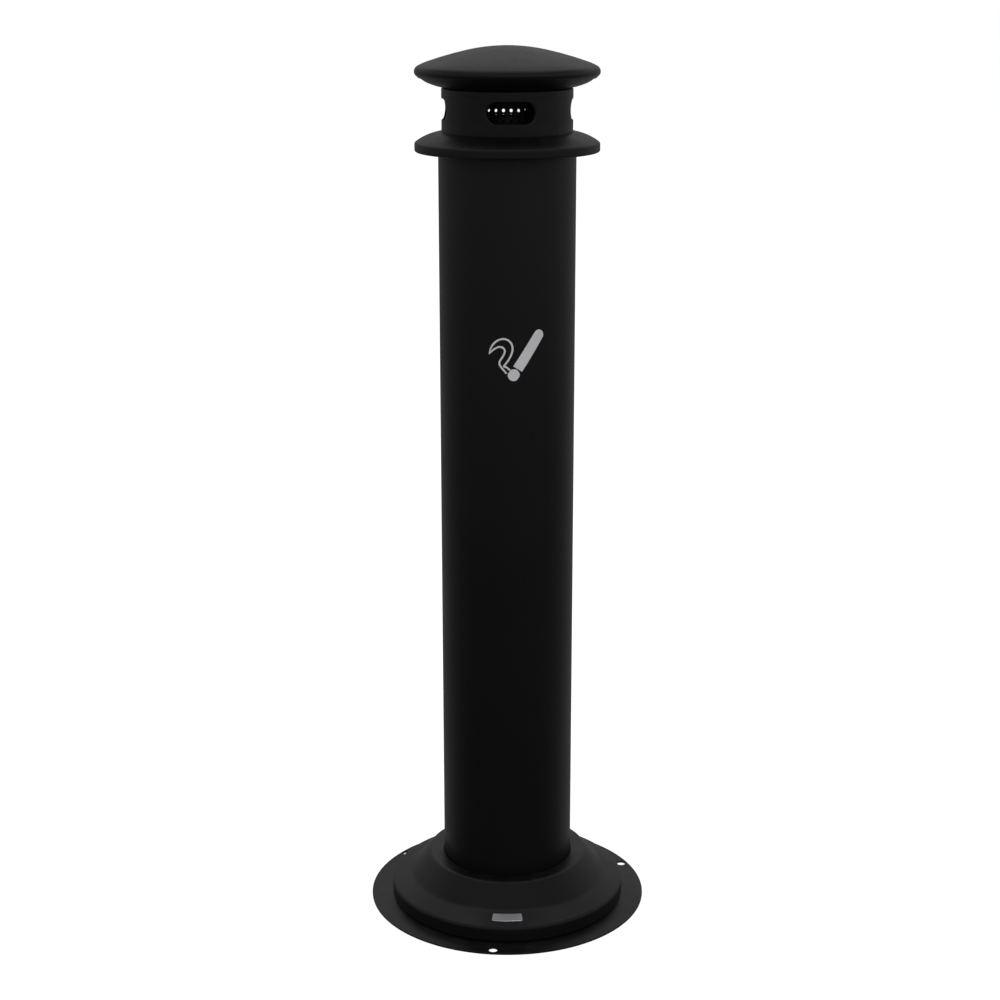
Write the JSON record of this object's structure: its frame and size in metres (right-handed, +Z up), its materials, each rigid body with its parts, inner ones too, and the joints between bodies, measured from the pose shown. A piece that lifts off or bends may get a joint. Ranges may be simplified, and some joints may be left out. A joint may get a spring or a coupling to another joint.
{
  "type": "ashtray bin",
  "caption": "Tall round post ashtray for cigarette ends: domed cap, slotted head, rain collar, bell base on a floor plate, and a lift-out canister with a bail handle.",
  "frame": {"origin": "on the floor, at the axis of the post", "axes": "+Z up along the post, -Y towards the front of the bin, where the pictogram and the foil plate are"},
  "size_m": [0.324, 0.324, 0.99],
  "materials": {
    "black_powder_coat": "fine satin powder coat on sheet steel",
    "primed_steel": "matte coated mild steel, inside the post",
    "screen_steel": "sooty matte black perforated steel",
    "galvanised_steel": "galvanised with a soft spangle",
    "zinc_hardware": "bright zinc plate",
    "aluminium_rivet": "plain satin",
    "nylon": "matte moulded nylon",
    "grip_rubber": "matte rubber sleeve",
    "white_vinyl": "matte cut vinyl film",
    "foil": "brushed self-adhesive foil plate, blank"
  },
  "bodies": {
    "post": {"floor_plate": "black_powder_coat", "base_bell": "black_powder_coat", "post_tube": "black_powder_coat", "foot_disc": "primed_steel", "foot_studs": "zinc_hardware", "foot_washers": "zinc_hardware", "foot_nuts": "zinc_hardware", "canister_ledge": "primed_steel", "smoking_decal": "white_vinyl", "base_label": "foil"},
    "canister": {"canister_shell": "galvanised_steel", "canister_base": "galvanised_steel", "handle_ears": "galvanised_steel", "ear_rivets": "aluminium_rivet"},
    "bail": {"bail_wire": "zinc_hardware", "bail_grip": "grip_rubber"},
    "seat": {"seat_ring": "nylon"},
    "head": {"drum": "black_powder_coat", "collar": "black_powder_coat", "cap_dome": "black_powder_coat", "cap_pan": "black_powder_coat", "stub_screen": "screen_steel", "drum_rivets": "aluminium_rivet", "screen_rivets": "aluminium_rivet"}
  },
  "joints": [
    {"name": "canister_lift", "type": "slide", "parent": "post", "child": "canister", "axis": [0, 0, 1], "range_m": [0, 0.42]},
    {"name": "bail_swing", "type": "hinge", "parent": "canister", "child": "bail", "pos_m": [0, 0, 0.80486], "axis": [1, 0, 0], "range_deg": [0, 180]},
    {"name": "head_lift", "type": "slide", "parent": "canister", "child": "seat", "axis": [0, 0, 1], "range_m": [0, 0.25]},
    {"name": "head_turn", "type": "hinge", "parent": "seat", "child": "head", "pos_m": [0, 0, 0.89], "axis": [0, 0, 1], "continuous": true}
  ]
}
